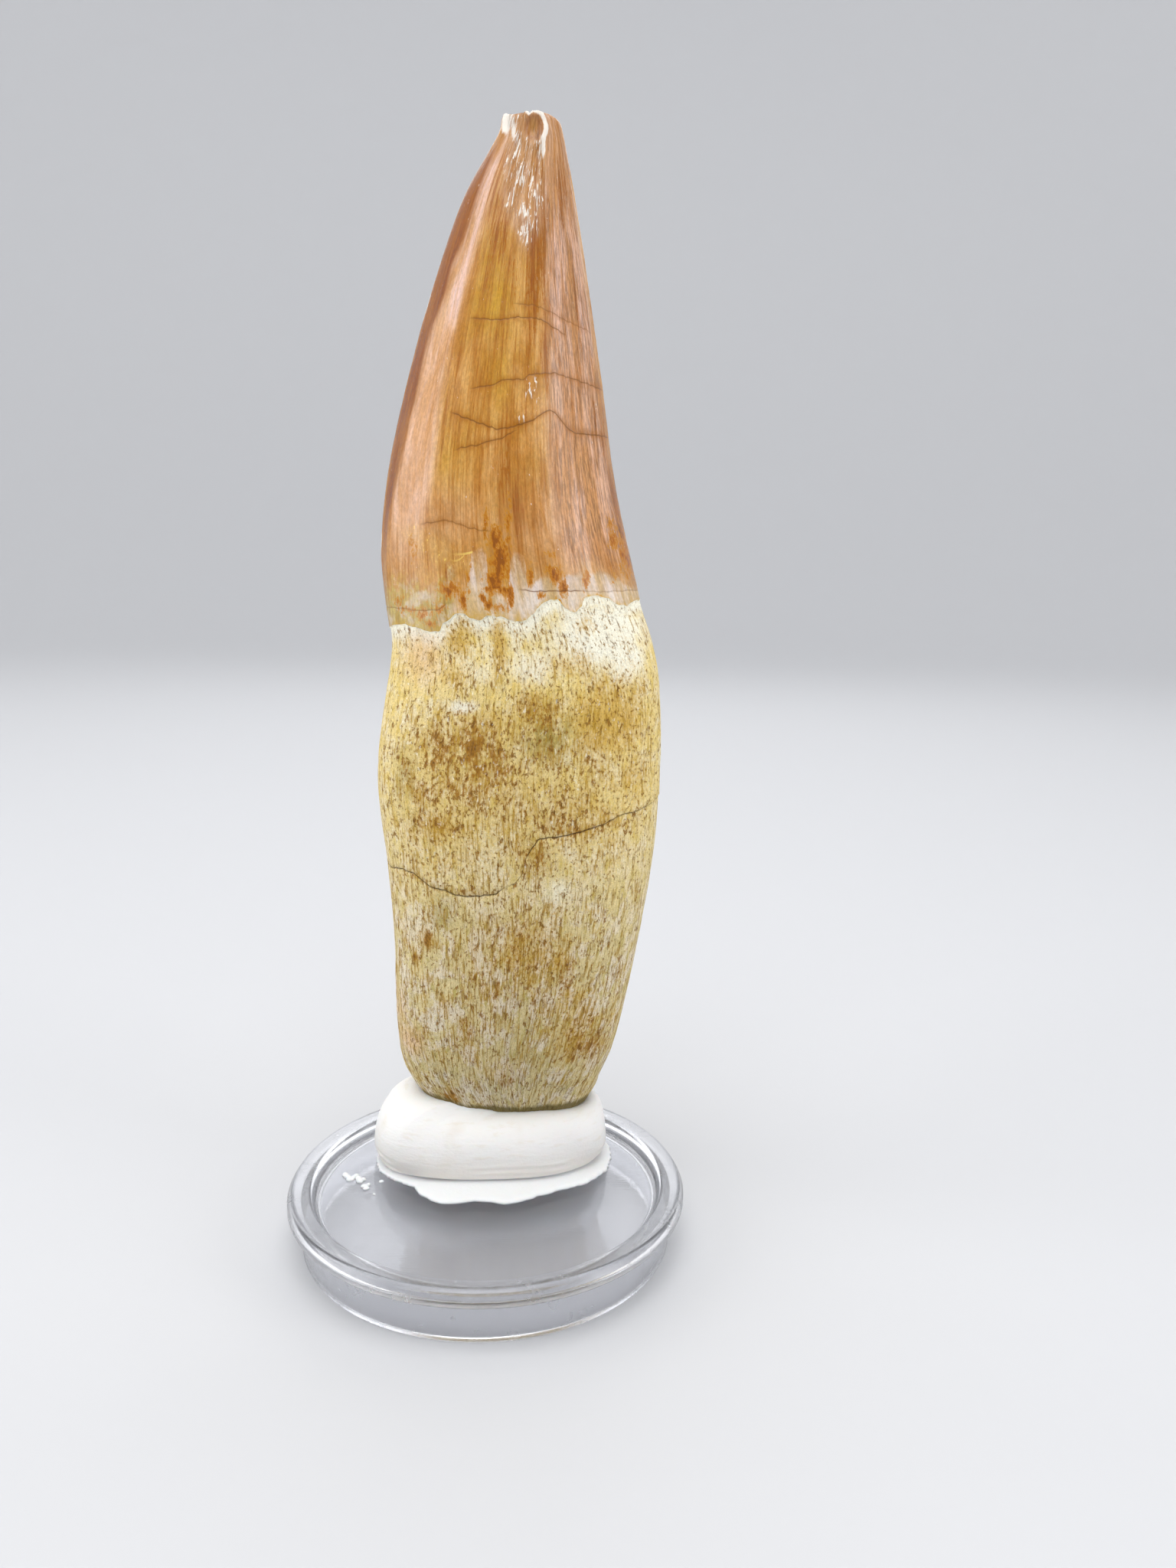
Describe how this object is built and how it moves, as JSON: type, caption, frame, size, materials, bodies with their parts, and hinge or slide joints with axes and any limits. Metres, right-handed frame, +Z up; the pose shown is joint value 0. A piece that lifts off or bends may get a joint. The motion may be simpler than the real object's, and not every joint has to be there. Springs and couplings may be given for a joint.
{
  "type": "fossil mosasaur tooth on a clear stand",
  "caption": "Tall fossil reptile tooth, a pointed enamel crown on a swollen bony root, held upright by white putty on a round clear lid.",
  "frame": {"origin": "centre of the lid's foot, on the surface the object stands on", "axes": "+Z up along the tooth; -Y towards the viewer, out of the tooth's wide face; +X to the viewer's right, the way the crown curves"},
  "size_m": [0.04, 0.04, 0.109],
  "materials": {
    "fossil": "glossy honey-brown enamel on the crown, porous cream bone on the root",
    "white_putty": "satin, pressed by hand",
    "clear_plastic": "clear, polished, lightly scratched"
  },
  "bodies": {
    "root": {"tooth": "fossil", "mounting_putty": "white_putty", "clear_lid": "clear_plastic"}
  },
  "joints": []
}
